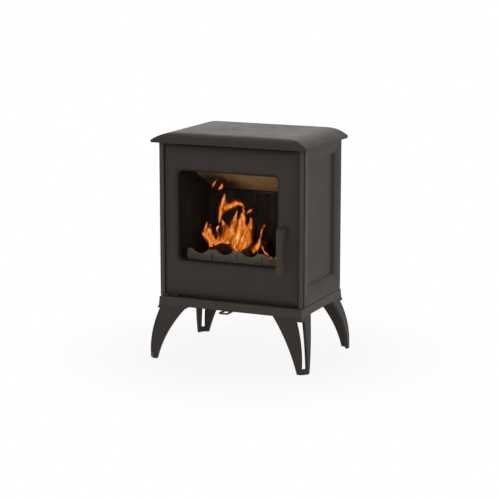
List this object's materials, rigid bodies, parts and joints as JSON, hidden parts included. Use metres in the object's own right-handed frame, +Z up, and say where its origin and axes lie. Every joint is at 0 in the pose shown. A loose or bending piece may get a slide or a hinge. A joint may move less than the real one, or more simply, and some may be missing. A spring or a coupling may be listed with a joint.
{
  "type": "wood stove",
  "caption": "Box-shaped cast iron wood stove on four splayed slotted legs, with a rolled top, a glazed front door, a hanging lever handle and a rear flue collar.",
  "frame": {"origin": "on the floor, under the middle of the stove's bounding box", "axes": "+Z up, the door faces -Y, +X is to the right of someone who faces the door"},
  "size_m": [0.5204, 0.4, 0.6925],
  "materials": {
    "stove_iron": "matt anthracite stove paint",
    "handle_iron": "matt anthracite stove paint",
    "fire_iron": "sooty bare casting",
    "plain_steel": "dull steel",
    "black_steel": "black sheet steel",
    "vermiculite": "pressed board",
    "fire_glass": "clear glass ceramic",
    "rope": "graphite-grey woven seal"
  },
  "bodies": {
    "stove": {"base_plate": "stove_iron", "leg_front_left": "stove_iron", "leg_front_right": "stove_iron", "leg_rear_left": "stove_iron", "leg_rear_right": "stove_iron", "front_frame": "stove_iron", "left_side_panel": "stove_iron", "right_side_panel": "stove_iron", "rear_panel": "stove_iron", "top_plate": "stove_iron", "flue_cover": "stove_iron", "flue_collar": "stove_iron", "left_lining": "fire_iron", "right_lining": "fire_iron", "back_lining": "fire_iron", "hearth_plate": "fire_iron", "grate": "fire_iron", "log_retainer": "fire_iron", "leg_bolts": "plain_steel", "flue_cover_clamp": "plain_steel", "flue_cover_bolt": "plain_steel", "flue_collar_bolts": "plain_steel", "tie_rods": "plain_steel", "tie_rod_nuts": "plain_steel", "left_baffle_rail": "plain_steel", "right_baffle_rail": "plain_steel", "bottom_hinge_pin": "plain_steel", "top_hinge_pin": "plain_steel", "hinge_washer": "plain_steel", "latch_keeper": "plain_steel", "left_air_guide": "plain_steel", "right_air_guide": "plain_steel", "ash_pan_runners": "plain_steel", "ash_pan": "black_steel", "baffle": "vermiculite"},
    "door": {"door": "stove_iron", "door_rope": "rope", "door_glass": "fire_glass", "glass_gasket": "rope", "glass_clips": "plain_steel", "clip_screws": "plain_steel", "bottom_hinge_arm": "plain_steel", "top_hinge_arm": "plain_steel", "hinge_arm_screws": "plain_steel", "spindle_bush": "plain_steel"},
    "handle": {"handle_lever": "handle_iron", "handle_spindle": "plain_steel", "spindle_collar": "plain_steel", "latch_tongue": "plain_steel", "spindle_nut": "plain_steel"},
    "air_control": {"air_slide": "black_steel"}
  },
  "joints": [
    {"name": "door_hinge", "type": "hinge", "parent": "stove", "child": "door", "pos_m": [-0.214, -0.147, 0.19], "axis": [0, 0, -1], "range_deg": [0, 110]},
    {"name": "handle_turn", "type": "hinge", "parent": "door", "child": "handle", "pos_m": [0.176, -0.1536, 0.418], "axis": [0, -1, 0], "range_deg": [0, 85]},
    {"name": "air_pull", "type": "slide", "parent": "stove", "child": "air_control", "axis": [0, -1, 0], "range_m": [0, 0.022]}
  ]
}
